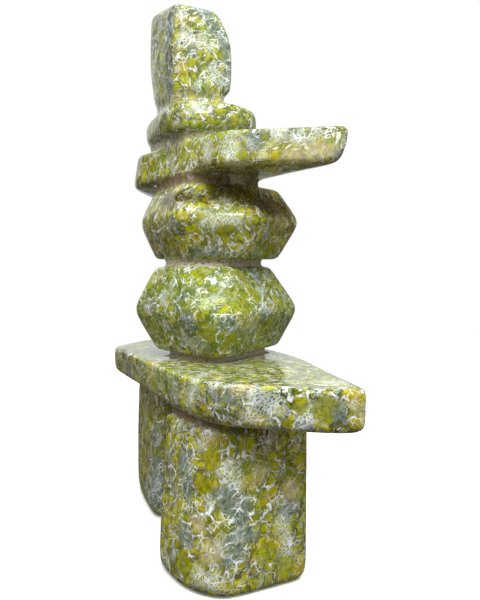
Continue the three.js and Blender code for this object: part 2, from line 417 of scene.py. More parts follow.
@dataclass(frozen=True)
class Figure:
    """The eight stones, bottom up, and the grooves between them. Lengths in mm."""

    leg_tall: float = 61.8
    hip_thick: float = 13.8
    lower_tall: float = 38.6
    upper_tall: float = 32.4
    arm_thick: float = 16.8
    collar_thick: float = 14.0
    head_tall: float = 41.8
    leg_groove: float = 3.0
    hip_groove: float = 2.6
    waist_groove: float = 2.7
    shoulder_groove: float = 2.6
    collar_groove: float = 2.7
    head_groove: float = 2.8
    sole_grind: float = 0.3

    @cached_property
    def near_leg(self) -> Stone:
        """The broad leg at the near end."""
        return Stone(
            (48, -10), -self.sole_grind, self.leg_tall + self.sole_grind, 41,
            (Flat(3, 0.622, 2), Flat(-48, 0.724, 2), Flat(-81, 0.666, 4.5), Flat(181, 0.283, -2.5),
             Flat(93, 0.495, -1.5)),
            side_edges=Edge.WORN, under_edge=Edge.WORN)

    @cached_property
    def far_leg(self) -> Stone:
        """The leg at the far end."""
        return Stone(
            (-28, -6), -self.sole_grind, self.leg_tall + self.sole_grind, 49,
            (Flat(0, 0.53), Flat(-89, 0.459, 5), Flat(-102, 0.52, -2), Flat(180, 0.469), Flat(88, 0.449)),
            side_edges=Edge.WORN, under_edge=Edge.WORN)

    @cached_property
    def hip(self) -> Stone:
        """The long slab on both legs."""
        return Stone(
            (8, -3), self.leg_tall + self.leg_groove, self.hip_thick, 183,
            (Flat(-38, 0.398), Flat(-13, 0.508), Flat(29, 0.514), Flat(77, 0.208), Flat(90, 0.197),
             Flat(150, 0.421), Flat(194, 0.448), Flat(229, 0.343), Flat(-88, 0.19), Flat(-73, 0.254)),
            under_edge=Edge.EASED, crown=Slope(142, 1.5), columns=320)

    @cached_property
    def lower(self) -> Stone:
        """The lower of the two faceted body stones."""
        return Stone(
            (0, 0), self.hip.top + self.hip_groove, self.lower_tall, 88,
            (*ridge(-21, 0.523, 39, 23.5), *ridge(35, 0.403, 34, 28), *ridge(85, 0.438, 31, 23.5),
             *ridge(142, 0.432, 28, 25), *ridge(214, 0.318, 29.5, 29), *ridge(-71, 0.398, 17, 21)),
            girdle=0.487)

    @cached_property
    def upper(self) -> Stone:
        """The upper of the two faceted body stones."""
        return Stone(
            (0, 0), self.lower.top + self.waist_groove, self.upper_tall, 84,
            (*ridge(-25, 0.452, 27, 25), *ridge(34, 0.446, 30, 28), *ridge(91, 0.423, 34, 28),
             *ridge(150, 0.429, 28, 25), *ridge(210, 0.405, 26, 24), *ridge(-86, 0.369, 24, 21)),
            girdle=0.54)

    @cached_property
    def arms(self) -> Stone:
        """The slab that makes both arms."""
        return Stone(
            (0, 0), self.upper.top + self.shoulder_groove, self.arm_thick, 131,
            (Flat(-34, 0.332, 7), Flat(41, 0.555, -33), Flat(103, 0.098, -5.5), Flat(180, 0.455),
             Flat(-125, 0.344, 9), Flat(-100, 0.272, 8), Flat(-76, 0.183, 9.5)),
            girdle=0.52, under_edge=Edge.EASED, under=Slope(-40, 2.5), columns=240)

    @cached_property
    def collar(self) -> Stone:
        """The worn pebble under the head."""
        return Stone(
            (-2, -5), self.arms.top + self.collar_groove, self.collar_thick, 65,
            (Flat(-19, 0.385), Flat(37, 0.408), Flat(99, 0.3), Flat(160, 0.462), Flat(218, 0.546),
             Flat(-91, 0.338), Flat(-62, 0.4)),
            side_edges=Edge.WORN, top_edge=Edge.WORN, under_edge=Edge.WORN)

    @cached_property
    def head(self) -> Stone:
        """The upright head."""
        return Stone(
            (-3, -9), self.collar.top + self.head_groove, self.head_tall, 46,
            (Flat(-15, 0.402, 8.5), Flat(70, 0.38, 25.5), Flat(83, 0.304, -4), Flat(165, 0.413, 0.5),
             Flat(-122, 0.575, -14), Flat(-88, 0.326, 2.5)),
            girdle=0.58, top_edge=Edge.EASED, under_edge=Edge.EASED, crown=Slope(33, 12))

    @cached_property
    def stones(self) -> tuple[Stone, ...]:
        """Every stone, from the floor up."""
        legs = self.near_leg, self.far_leg
        return *legs, self.hip, self.lower, self.upper, self.arms, self.collar, self.head

    @cached_property
    def necks(self) -> tuple[Neck, ...]:
        """Every neck, from the floor up."""
        return (
            Neck(self.near_leg, self.hip, self.near_leg, 3, 1, spread=0.2),
            Neck(self.far_leg, self.hip, self.far_leg, 3, 1, spread=0.2),
            Neck(self.hip, self.lower, self.lower, 4.4, 0.5, spread=2.2),
            Neck(self.lower, self.upper, self.upper, 2.2, 2),
            Neck(self.upper, self.arms, self.upper, 2.2, 2),
            Neck(self.arms, self.collar, self.collar, 3.5, 1, rough=0.45),
            Neck(self.collar, self.head, self.head, 1.5, 1, rough=0.25),
        )


class Tint(Enum):
    """What a place in the rock is marked with. The value names the mesh attribute that holds it."""

    CLOUD = "cloud"
    FROTH = "froth"
    WARM = "warm"
    GOLD = "gold"
    PLAIN = "plain"
    VEIN = "vein"
    RUST = "rust"
    # Partly darker rock, partly painted shade: where the arm slab shades the upper stone's top.
    DARK = "dark"


@dataclass(frozen=True)
class Border:
    """The edge of a tint: over how many mm it fades to each side, and how much of the wobble it takes."""

    spread: float
    wobble: float = 1.0


BORDERS: dict[Tint, Border] = {
    Tint.CLOUD: Border(1.6), Tint.FROTH: Border(2.2), Tint.WARM: Border(2.5), Tint.GOLD: Border(2.0),
    Tint.RUST: Border(2.0), Tint.PLAIN: Border(0.4, 0.55), Tint.DARK: Border(3.0, 0.6),
}


@dataclass(frozen=True)
class Mark:
    """A place in the rock with a tint of its own: within a radius of a path, in mm in the part's frame."""

    tint: Tint
    radius: float
    path: tuple[Point, ...]

    def beyond(self, points: Array) -> Array:
        """Works out how far points stand outside the mark: the distance to its path, less its radius.

        Args:
            points: (points, 3) in mm in the part's frame.

        Returns:
            A distance for each point, less than 0 within the mark.
        """
        ends = np.array(self.path if len(self.path) > 1 else self.path * 2, float)
        nearest = np.full(len(points), np.inf)
        for start, end in zip(ends[:-1], ends[1:]):
            along = end - start
            share = np.clip((points - start) @ along / max(along @ along, 1e-9), 0, 1)
            nearest = np.minimum(nearest, np.linalg.norm(points - start - share[:, None] * along, axis=1))
        return nearest - self.radius


def marks_of(tint: Tint, *placed: tuple) -> tuple[Mark, ...]:
    """Marks of one tint, each given as its radius and then the points of its path."""
    return tuple(Mark(tint, radius, tuple(path)) for radius, *path in placed)


MARKS: tuple[Mark, ...] = (
    *marks_of(
        Tint.CLOUD,
        (4.5, (-9, -22, 238), (-10, -23, 215), (-7, -24, 198)),
        (3.0, (-3, -12, 233), (2, -4, 223), (4, -1, 215)), (2.4, (5, 0, 209), (6, -2, 199)),
        (2.2, (1, -15, 211)), (2.0, (-25, -24, 178), (-6, -21, 177)), (3.0, (35, -2, 173), (36, -2, 169)),
        (3.0, (54, 25, 163)), (4.0, (18, -23, 96)), (3.5, (29, -10, 97)), (2.5, (12, -25, 108)),
        (4.0, (-9, -33, 103)), (3.0, (11, -22, 88), (19, -19, 87)), (4.0, (20, 11, 101)), (3.5, (9, 12, 115)),
        (5.0, (-34, -33, 79), (-31, -27, 78)), (4.0, (74, -17, 75)), (2.0, (65, -28, 75), (71, -21, 76)),
        (2.5, (89, 4, 73)), (3.0, (83, -5, 68)), (4.0, (43, -34, 49), (45, -34, 38)),
        (5.0, (58, -23, 38), (59, -18, 32)), (5.0, (59, -22, 18), (60, -17, 23)), (4.0, (58, 2, 30)),
        (4.0, (46, -35, 21)), (3.0, (-16, -28, 133)), (2.0, (11, -18, 126), (17, -5, 125)),
        (6.0, (-22, -28, 10), (-20, -27, 24)), (5.0, (-24, -26, 38)), (5.0, (-36, -29, 8)),
    ),
    *marks_of(
        Tint.FROTH,
        (3.0, (-1, -19, 218)), (2.8, (5, -7, 201)), (2.2, (-3, -19, 229)), (2.0, (0, -13, 217), (2, -9, 215)),
        (3.5, (5, -15, 188)), (2.5, (18, -15, 168), (20, -16, 164)), (3.4, (30, -10, 168), (32, -8, 161)),
        (2.8, (46, 11, 170), (51, 18, 170)), (3.5, (40, 6, 172)), (1.5, (39, 2, 167), (38, 0, 162)),
        (2.0, (23, -18, 105), (24, -12, 107)), (2.0, (21, -9, 112)),
        (2.2, (40, -23, 80), (52, -33, 78), (48, -33, 72)), (3.5, (73, -19, 78), (76, -14, 74)),
        (3.5, (84, -5, 72)), (4.0, (76, 10, 80)), (2.5, (72, -20, 71)), (3.5, (58, -23, 48)),
        (2.5, (51, -30, 56)), (2.5, (36, -34, 60)), (2.5, (59, -20, 42)), (2.5, (59, -1, 26), (59, 2, 10)),
        (3.0, (18, -16, 139), (23, -5, 138)), (3.0, (53, -32, 8), (58, -27, 7)),
    ),
    *marks_of(
        Tint.WARM,
        (3.6, (44, 9, 162), (48, 15, 163), (52, 21, 164)), (4.0, (58, 3, 36)), (4.5, (56, -28, 18)),
        (3.0, (59, -10, 45)), (3.5, (51, -32, 27)), (3.0, (69, -22, 80)), (5.0, (16, 19, 143)),
        (2.5, (26, 1, 96)),
    ),
    *marks_of(
        Tint.GOLD,
        (1.8, (27, -12, 160), (36, -1, 160)), (2.5, (-4, -21, 227)), (2.5, (0, -20, 205)),
        (4.0, (3, -36, 78), (8, -36, 75)), (4.0, (73, -18, 68)), (4.0, (91, 9, 78)), (3.5, (91, 11, 70)),
        (4.0, (55, -28, 51)), (2.5, (53, -29, 58), (57, -24, 59)), (4.0, (58, 7, 7)), (4.0, (-40, -27, 24)),
    ),
    *marks_of(
        Tint.PLAIN,
        (2.5, (4, -2, 212)), (2.2, (1, -16, 207)), (1.8, (7, -10, 182)), (1.8, (8, -7, 182)),
        (3.0, (10, 0, 181)), (3.0, (-5, -25, 181)), (3.0, (53, 23, 167)), (2.2, (38, 1, 170)),
        (2.2, (33, -6, 163)), (2.6, (20, -9, 134), (21, -6, 135)), (2.6, (1, -25, 129)),
        (2.0, (17, -18, 140)), (4.0, (11, 17, 127)), (2.8, (23, -7, 109)), (2.4, (13, -17, 117)),
        (2.8, (15, 1, 117)), (3.5, (18, 7, 108)), (3.5, (24, -17, 92)), (2.8, (26, -8, 90)),
        (3.0, (82, -7, 75)), (4.5, (87, 0, 74)), (4.5, (59, -8, 15)), (4.5, (59, 0, 8)),
        (3.5, (53, -30, 42)), (4.5, (46, -36, 11)), (3.5, (58, -25, 36)), (5.0, (-35, -26, 49)),
        (4.0, (55, -28, 51)), (4.5, (27, -3, 104)), (4.0, (-42, -27, 24)),
        (3.0, (-50, -26, 44)), (2.4, (24, -21, 100)),
    ),
    # Painted shade, partly darker rock: the arm slab's shadow over the upper stone's top right, and shade
    # along its top under the slab's front edge.
    *marks_of(
        Tint.DARK,
        (5.5, (17, -9, 153), (21, -1, 150), (21, 8, 147), (15, 19, 146), (10, 27, 146)),
        (2.8, (-10, -26, 149), (9, -25, 149), (14, -19, 149), (17, -11, 149)),
    ),
    *marks_of(
        Tint.RUST,
        (14.0, (-50, -18, 156), (22, -18, 156)), (14.0, (-50, 18, 156), (22, 18, 156)),
        (37.0, (-60, -12, 40), (70, -12, 40)),
    ),
    *marks_of(
        Tint.VEIN,
        (0.45, (5, -15, 186), (3, -20, 181)),
        (0.6, (-16, -25, 151), (-2, -25, 150), (10, -25, 146), (13, -20, 147), (13, -16, 151)),
        (0.75, (-19, -29, 136), (-12, -28, 135), (0, -28, 137)), (0.3, (22, 5, 131), (17, -4, 125)),
        (0.6, (5, 18, 114), (14, 12, 108), (20, 10, 103), (27, 0, 98)),
        (0.6, (7, -27, 106), (13, -25, 102), (15, -25, 98), (19, -23, 99)),
        (0.6, (79, -11, 76), (82, -7, 78), (84, -2, 80), (88, 2, 79)),
        (0.75, (49, -33, 29), (55, -29, 32), (56, -27, 36), (58, -25, 39)),
        (0.5, (55, -29, 32), (57, -26, 28)),
        (0.75, (59, -10, 28), (59, -3, 35), (58, 3, 40)), (0.45, (59, -25, 16), (60, -18, 23)),
        (0.45, (-49, -28, 14), (-17, -24, 33)), (0.45, (4, -19, 169), (2, -20, 163)),
        (0.45, (-36, -27, 38), (-16, -24, 46)),
    ),
)


@dataclass
class Carving:
    """The whole figure as one mesh: every stone and neck, run together by the grooves' rounded corners.

    The fields give, in mm, how the surface is ground, where the grooves' rough walls fade out, and how the
    mesh is made: its voxels, and how often and how far its points move to fit the surface.
    """

    figure: Figure = field(default_factory=Figure)
    groove_corner: float = 0.6
    sink: float = 0.12
    sway: float = 0.22
    sway_length: float = 19.0
    sway_seed: int = 3
    ripple: float = 0.06
    ripple_length: float = 6.0
    ripple_seed: int = 5
    rub_fade: float = 1.2
    rub_fray: float = 0.7
    rub_fray_length: float = 3.0
    rub_fray_seed: int = 7
    voxel: float = 1.12
    shell_inset: float = 0.7
    passes: int = 3
    long_fit: int = 3
    short_fit: int = 2
    longest_step: float = 1.2
    least_slope: float = 0.25
    mark_reach: float = 20.0

    def read(self, points: Array) -> Reading:
        """Reads points against the whole carving.

        The stones and necks are joined by a rounded smallest distance. The surface then sinks by a little and
        by two slow waves, as hand grinding leaves it, and never stands proud.

        Args:
            points: (points, 3) in mm in the stack's axes.

        Returns:
            How far they stand outside, and the way out.
        """
        parts = [part.read(points) for part in (*self.figure.stones, *self.figure.necks)]
        whole = joined(parts, -self.groove_corner)
        sway = self.sway * (1 + waves(points, self.sway_length, self.sway_seed)) / 2
        ripple = self.ripple * (1 + waves(points, self.ripple_length, self.ripple_seed)) / 2
        return Reading(whole.far + self.sink + sway + ripple, whole.out)

    def groove_share(self, points: Array) -> Array:
        """Works out how much of a groove's rough ground wall a point is.

        It is 1 where a neck is nearer than any stone, and fades over a frayed edge.

        Args:
            points: (points, 3) in mm in the stack's axes.

        Returns:
            A share from 0 to 1 for each point.
        """
        stones = np.min([stone.read(points).far for stone in self.figure.stones], axis=0)
        necks = np.array([neck.read(points).far for neck in self.figure.necks])
        finish = np.array([(neck.rough, neck.spread) for neck in self.figure.necks])
        rough, spread = finish[necks.argmin(axis=0)].T
        fray = self.rub_fray * waves(points, self.rub_fray_length, self.rub_fray_seed)
        return rough * np.clip((stones - necks.min(axis=0) + spread + fray) / self.rub_fade, 0, 1)

    def blank(self) -> tuple[Array, Array]:
        """Joins the shells of all stones and necks into one even skin of four-sided faces.

        Returns:
            The skin's points in mm and its faces, (faces, 4).
        """
        shells = [part.shell(self.shell_inset) for part in (*self.figure.stones, *self.figure.necks)]
        starts = np.cumsum([0] + [len(shell.points) for shell in shells])
        points = np.concatenate([shell.points for shell in shells])
        faces = [[int(start) + corner for corner in face]
                 for start, shell in zip(starts, shells) for face in shell.faces]
        mesh = bpy.data.meshes.new("blank")
        mesh.from_pydata((points * MM).tolist(), [], faces)
        block = placed_in_scene("blank", mesh)
        skin = block.modifiers.new("skin", "REMESH")
        skin.mode = "VOXEL"
        skin.voxel_size = self.voxel * MM
        done = bpy.data.meshes.new_from_object(block.evaluated_get(bpy.context.evaluated_depsgraph_get()))
        bpy.data.objects.remove(block)
        skin_points = np.empty(len(done.vertices) * 3)
        done.vertices.foreach_get("co", skin_points)
        corners = np.empty(len(done.loops), np.int32)
        done.loops.foreach_get("vertex_index", corners)
        bpy.data.meshes.remove(done)
        return skin_points.reshape(-1, 3) / MM, corners.reshape(-1, 4)

    def fitted(self, points: Array, steps: int) -> Array:
        """Moves points onto the carving: each step goes back along the way out by the distance outside.

        Args:
            points: (points, 3) in mm in the stack's axes.
            steps: how many steps they take.

        Returns:
            The moved points.
        """
        for _ in range(steps):
            reading = self.read(points)
            slope = np.maximum(np.sum(reading.out ** 2, axis=1), self.least_slope)
            step = np.clip(reading.far / slope, -self.longest_step, self.longest_step)
            points = points - reading.out * step[:, None]
        return points

    @staticmethod
    def evened(points: Array, faces: Array) -> Array:
        """Moves each point half of the way to the middle of its neighbours along the faces' sides.

        Args:
            points: (points, 3).
            faces: the numbers of the points of each four-sided face, (faces, 4).

        Returns:
            The moved points.
        """
        starts, ends = faces.T.ravel(), np.roll(faces, -1, axis=1).T.ravel()
        count = np.bincount(starts, minlength=len(points)) + np.bincount(ends, minlength=len(points))
        total = np.stack([
            np.bincount(starts, points[ends, axis], len(points))
            + np.bincount(ends, points[starts, axis], len(points))
            for axis in range(3)
        ], axis=1)
        return (points + total / count[:, None]) / 2

    def build(self) -> bpy.types.Object:
        """Makes the carving's mesh, with an attribute for the grooves and one for each tint.

        Returns:
            The finished object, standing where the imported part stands.
        """
        points, faces = self.blank()
        points = self.fitted(points, self.long_fit)
        for _ in range(self.passes):
            points = self.fitted(self.evened(points, faces), self.short_fit)
        points = self.fitted(points, self.long_fit)
        points[:, 2] = np.maximum(points[:, 2], 0)
        left = np.abs(self.read(points).far[points[:, 2] > 0])
        log.info("carving: %d points, %d faces, worst misfit %.3f mm", len(points), len(faces), left.max())
        groove = self.groove_share(points)
        low, high = (np.array(corner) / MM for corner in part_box(NODE))
        middle = (points.min(axis=0) + points.max(axis=0)) / 2
        points = points + [*((low + high) / 2 - middle)[:2], 0]
        mesh = bpy.data.meshes.new("carving")
        mesh.from_pydata((points * MM).tolist(), [], faces.tolist())
        mesh.shade_smooth()
        self.note(mesh, "groove", groove)
        for tint in Tint:
            beyond = np.min([mark.beyond(points) for mark in MARKS if mark.tint is tint], axis=0)
            self.note(mesh, tint.value, np.minimum(beyond, self.mark_reach))
        return placed_in_scene("carving", mesh)

    @staticmethod
    def note(mesh: bpy.types.Mesh, name: str, values: Array) -> None:
        """Stores a number for each point of a mesh under a name that a material can read."""
        attribute = mesh.attributes.new(name, "FLOAT", "POINT")
        attribute.data.foreach_set("value", values.astype(np.float32))


def shade(red: int, green: int, blue: int) -> RGBA:
    """Turns a colour as the eye gives it into the linear light that a material takes.

    A part up to 10 is divided by 255 and by 12.92. A larger one is divided by 255, has 0.055 added, is
    divided by 1.055 and is raised to the power of 2.4.

    Args:
        red: the red part, from 0 to 255.
        green: the green part.
        blue: the blue part.

    Returns:
        The linear colour, opaque.
    """
    linear = (part / 255 / 12.92 if part <= 10 else ((part / 255 + 0.055) / 1.055) ** 2.4
              for part in (red, green, blue))
    return (*linear, 1.0)


@dataclass(frozen=True)
class Band:
    """A stretch of a value, and what it is eased to: from low, at its start, to high, at its end."""

    start: Value
    end: Value
    low: float = 0.0
    high: float = 1.0


@dataclass(frozen=True)
class Mottle:
    """A noise: how large its features are in mm, how many finer layers it has, and how strong they are."""

    size: float
    layers: float = 2.0
    finer: float = 0.5


class Wiring:
    """Adds nodes to a node tree and joins their sockets."""

    def __init__(self, tree: bpy.types.NodeTree) -> None:
        """Takes the tree to work in."""
        self.tree = tree

    def node(self, kind: str, inputs: Inputs | None = None, **settings: object) -> bpy.types.Node:
        """Adds a node.

        Args:
            kind: Blender's name for it.
            inputs: what goes into its sockets, by name or number: a value, or a socket to join.
            settings: its own settings.

        Returns:
            The node.
        """
        node = self.tree.nodes.new(kind)
        for name, value in settings.items():
            setattr(node, name, value)
        for name, value in (inputs or {}).items():
            self.feed(node.inputs[name], value)
        return node

    def feed(self, socket: Socket, value: object) -> None:
        """Joins a socket to another, or sets its value.

        Args:
            socket: the input to feed.
            value: the output to join it to, or a plain value.
        """
        if isinstance(value, Socket):
            self.tree.links.new(value, socket)
        else:
            socket.default_value = value

    def math(self, operation: str, *values: Value) -> Socket:
        """One sum on numbers, by Blender's name for it."""
        return self.node("ShaderNodeMath", dict(enumerate(values)), operation=operation).outputs[0]

    def plus(self, *values: Value) -> Socket:
        """Several numbers added, from the first on."""
        return reduce(partial(self.math, "ADD"), values)

    def times(self, *values: Value) -> Socket:
        """Several numbers multiplied, from the first on."""
        return reduce(partial(self.math, "MULTIPLY"), values)

    def most(self, *values: Value) -> Socket:
        """The largest of several numbers."""
        return reduce(partial(self.math, "MAXIMUM"), values)

    def less(self, first: Value, second: Value) -> Socket:
        """The first number less the second."""
        return self.math("SUBTRACT", first, second)

    def apart(self, first: Value, second: Value) -> Socket:
        """How far apart two numbers are."""
        return self.math("ABSOLUTE", self.less(first, second))

    def between(self, share: Value, first: Value, second: Value) -> Socket:
        """A share of the way from the first number to the second."""
        return self.node("ShaderNodeMix", {0: share, 2: first, 3: second}).outputs[0]

    def vector(self, operation: str, *values: object) -> Socket:
        """One sum on vectors, by Blender's name for it."""
        return self.node("ShaderNodeVectorMath", dict(enumerate(values)), operation=operation).outputs[0]

    def measured(self, operation: str, *values: object) -> Socket:
        """One number taken from vectors, such as LENGTH."""
        return self.node("ShaderNodeVectorMath", dict(enumerate(values)), operation=operation).outputs[1]

    def scaled(self, vector: Socket, factor: Value) -> Socket:
        """A vector times a number."""
        inputs = {"Vector": vector, "Scale": factor}
        return self.node("ShaderNodeVectorMath", inputs, operation="SCALE").outputs[0]

    def ease(self, value: Value, band: Band) -> Socket:
        """A value eased smoothly along a band."""
        inputs = {"Value": value, 1: band.start, 2: band.end, 3: band.low, 4: band.high}
        return self.node("ShaderNodeMapRange", inputs, interpolation_type="SMOOTHSTEP").outputs[0]

    def mix(self, share: Value, first: Socket | RGBA, second: Socket | RGBA, blend: str = "MIX") -> Socket:
        """A share of the way from the first colour to the second."""
        inputs = {0: share, 6: first, 7: second}
        return self.node("ShaderNodeMix", inputs, data_type="RGBA", blend_type=blend).outputs[2]

    def layered(self, colour: Socket, *layers: tuple[Value, Socket | RGBA]) -> Socket:
        """A colour with others laid over it in turn, each in its share."""
        return reduce(lambda under, layer: self.mix(layer[0], under, layer[1]), layers, colour)

    def noise(self, where: Socket, mottle: Mottle, output: str = "Fac") -> Socket:
        """A noise's level, which lies round 0.5, or its Color, which holds three such levels."""
        inputs = {"Vector": where, "Scale": 1 / mottle.size, "Detail": mottle.layers,
                  "Roughness": mottle.finer}
        return self.node("ShaderNodeTexNoise", inputs).outputs[output]

    def ramp(self, share: Socket, *stops: tuple[float, RGBA]) -> Socket:
        """Picks a colour along a row of stops.

        Args:
            share: how far along the row.
            stops: the place and colour of each stop, two at least.

        Returns:
            The colour.
        """
        node = self.node("ShaderNodeValToRGB", {"Fac": share})
        for place, _ in stops[2:]:
            node.color_ramp.elements.new(place)
        for element, (place, colour) in zip(node.color_ramp.elements, stops):
            element.position = place
            element.color = colour
        return node.outputs["Color"]

    def attribute(self, name: str) -> Socket:
        """A number that the mesh holds at each point."""
        return self.node("ShaderNodeAttribute", attribute_name=name).outputs["Fac"]


class SocketKind(Enum):
    """The kinds of socket that the groups here have."""

    NUMBER = "NodeSocketFloat"
    VECTOR = "NodeSocketVector"


class Group(Wiring):
    """A new node group with named sockets, and the wiring inside it."""

    def __init__(self, name: str, takes: dict[str, SocketKind], gives: dict[str, SocketKind]) -> None:
        """Starts the group.

        Args:
            name: the group's name.
            takes: its inputs.
            gives: its outputs.
        """
        super().__init__(bpy.data.node_groups.new(name, "ShaderNodeTree"))
        for way, sockets in (("INPUT", takes), ("OUTPUT", gives)):
            for socket, kind in sockets.items():
                self.tree.interface.new_socket(socket, in_out=way, socket_type=kind.value)
        self.given = self.node("NodeGroupInput").outputs
        self.result = self.node("NodeGroupOutput").inputs


@dataclass(frozen=True)
class Stir:
    """How the rock was stirred when soft and drawn out along its grain: two swirls and their reach in mm."""

    slow: Mottle = Mottle(12, 1)
    slow_reach: float = 7.0
    quick: Mottle = Mottle(1.7, 3, 0.6)
    quick_reach: float = 0.9
    drawn: float = 0.2

    def group(self) -> bpy.types.NodeTree:
        """Builds the effect as a node group.

        A place is moved by both swirls. The part of it that lies along the grain is then made shorter, so
        that whatever is painted there comes out longer.

        Returns:
            A group that takes a Place and the Grain's direction, and gives the stirred Place.
        """
        vector = SocketKind.VECTOR
        group = Group("stirred rock", {"Place": vector, "Grain": vector}, {"Place": vector})
        place, grain = group.given["Place"], group.given["Grain"]
        swirls = []
        for mottle, reach in ((self.slow, self.slow_reach), (self.quick, self.quick_reach)):
            swirl = group.vector("SUBTRACT", group.noise(place, mottle, "Color"), (0.5, 0.5, 0.5))
            swirls.append(group.scaled(swirl, reach))
        stirred = group.vector("ADD", place, group.vector("ADD", *swirls))
        along = group.measured("DOT_PRODUCT", stirred, grain)
        drawn = group.scaled(grain, group.times(along, self.drawn))
        group.feed(group.result["Place"], group.vector("SUBTRACT", stirred, drawn))
        return group.tree


@dataclass(frozen=True)
class VeinNet:
    """A net of veins round cells. A vein is at full strength up to a share of its half width."""

    core: float = 0.1

    def group(self) -> bpy.types.NodeTree:
        """Builds the effect as a node group.

        The distance to the nearest wall between two cells is eased from 1, at the core, to 0, at the half
        width.

        Returns:
            A group that takes a Place, a Cell Size and a Vein Width, the half width, all in mm. It gives the
            Vein's strength, a Pick from 0 to 1 for each cell, how far Inside its wall a point is in mm, and
            how far Round its middle, in cells.
        """
        number = SocketKind.NUMBER
        takes = {"Place": SocketKind.VECTOR, "Cell Size": number, "Vein Width": number}
        group = Group("vein net", takes, dict.fromkeys(("Vein", "Pick", "Inside", "Round"), number))
        size, width = group.given["Cell Size"], group.given["Vein Width"]
        cells = {"Vector": group.vector("DIVIDE", group.given["Place"], size), "Scale": 1.0}
        wall = group.node("ShaderNodeTexVoronoi", cells, feature="DISTANCE_TO_EDGE").outputs["Distance"]
        nearest = group.node("ShaderNodeTexVoronoi", cells, feature="F1").outputs
        inside = group.times(wall, size)
        gives = {
            "Vein": group.ease(inside, Band(group.times(width, self.core), width, 1.0, 0.0)),
            "Pick": group.node("ShaderNodeSeparateColor", {0: nearest["Color"]}).outputs[0],
            "Inside": inside,
            "Round": nearest["Distance"],
        }
        for name, value in gives.items():
            group.feed(group.result[name], value)
        return group.tree


@dataclass(frozen=True)
class Serpentine:
    """Polished green serpentine: olive cells in a net of pale veins, with grey-blue clouds and warm patches.

    Its colours come first, then the lay of its grain and the noises and nets that place the colours, then
    levels in mm above the floor, then the shares in which each thing shows, and last its gloss and relief.
    """

    deep: RGBA = shade(38, 42, 2)
    olive: RGBA = shade(92, 98, 4)
    ripe: RGBA = shade(136, 140, 4)
    yellow: RGBA = shade(160, 158, 8)
    bright: RGBA = shade(184, 182, 36)
    moss: RGBA = shade(48, 58, 10)
    white: RGBA = shade(237, 240, 240)
    cream: RGBA = shade(218, 206, 172)
    blue: RGBA = shade(192, 202, 214)
    frost: RGBA = shade(230, 234, 240)
    haze: RGBA = shade(188, 195, 126)
    teal: RGBA = shade(56, 70, 46)
    slate: RGBA = shade(120, 132, 132)
    sand: RGBA = shade(196, 172, 128)
    gold: RGBA = shade(172, 150, 26)
    leaf: RGBA = shade(104, 126, 16)
    speck: RGBA = shade(58, 34, 52)
    ground: RGBA = shade(192, 180, 160)
    rust: RGBA = shade(96, 66, 44)
    pit: RGBA = shade(70, 62, 40)
    # Brown multiplied in where the rock is darker and where the arm slab's shade is painted.
    dark_and_shade_umber: RGBA = shade(112, 88, 30)

    lay: Vector = Vector((0.22, 0.58, 0.78)).normalized()
    stir: Stir = Stir()
    net: VeinNet = VeinNet()
    cell_sizes: tuple[float, ...] = (4.3, 2.2, 1.1)
    coarse_widths: Band = Band(0.36, 0.66, 0.1, 0.52)
    middle_widths: Band = Band(0.35, 0.65, 0.1, 0.3)
    fine_width: float = 0.2
    taper: Mottle = Mottle(2.6, 1)
    drift: Mottle = Mottle(20)
    patch: Mottle = Mottle(8)
    ochre: Mottle = Mottle(5)
    blotch: Mottle = Mottle(5)
    grain: Mottle = Mottle(1.7, 4, 0.6)
    crumb: Mottle = Mottle(0.7, 2, 0.6)
    wobble: Mottle = Mottle(3, 4, 0.65)
    wobble_reach: float = 9.0
    coarse_places: Mottle = Mottle(3, 3, 0.6)
    middle_places: Mottle = Mottle(3.8)
    threads: Mottle = Mottle(9)
    foam: Mottle = Mottle(1.2, 3, 0.65)
    fading: Mottle = Mottle(6, 3, 0.6)
    pale: Mottle = Mottle(9)
    pits: Mottle = Mottle(1.2, 3, 0.7)
    pitting: Mottle = Mottle(1.1, 4, 0.65)
    swell: Mottle = Mottle(5, 1)
    specks_per_mm: float = 0.08

    belly: float = 105.0
    shoulder: float = 150.0
    milky: Band = Band(140.0, 190.0)

    coarse_pick: float = 0.34
    middle_pick: float = 0.2
    gold_share: float = 0.6
    plain_share: float = 0.7
    froth_haze: float = 0.15
    milk_haze: float = 0.08
    cloud_share: float = 0.8
    froth_veins: float = 0.85
    plain_calm: float = 0.9
    milk_calm: float = 0.1
    frost_share: float = 0.8
    vein_share: float = 0.95
    vein_wobble: float = 0.22
    warm_share: float = 0.42
    # How strongly the darker rock and painted shade show.
    dark_and_shade_share: float = 0.9
    rust_share: float = 0.85
    pit_share: float = 0.85
    groove_share: float = 0.8
    vein_roughness: float = 0.05
    groove_roughness: float = 0.85
    swell_height: float = 0.05
    refraction: float = 1.52

    def material(self) -> bpy.types.Material:
        """Builds the rock's material.

        Returns:
            A material whose colour, roughness and fine relief come from the place in the block.
        """
        material = bpy.data.materials.new("green serpentine")
        material.use_nodes = True
        material.node_tree.nodes.clear()
        paint = RockPaint(material.node_tree, self)
        bump = paint.node("ShaderNodeBump", {"Height": paint.relief(), "Strength": 1.0, "Distance": MM})
        surface = paint.node("ShaderNodeBsdfPrincipled", {
            "Base Color": paint.colour(), "Roughness": paint.roughness(), "IOR": self.refraction,
            "Normal": bump.outputs[0],
        })
        result = paint.node("ShaderNodeOutputMaterial")
        paint.feed(result.inputs["Surface"], surface.outputs[0])
        return material


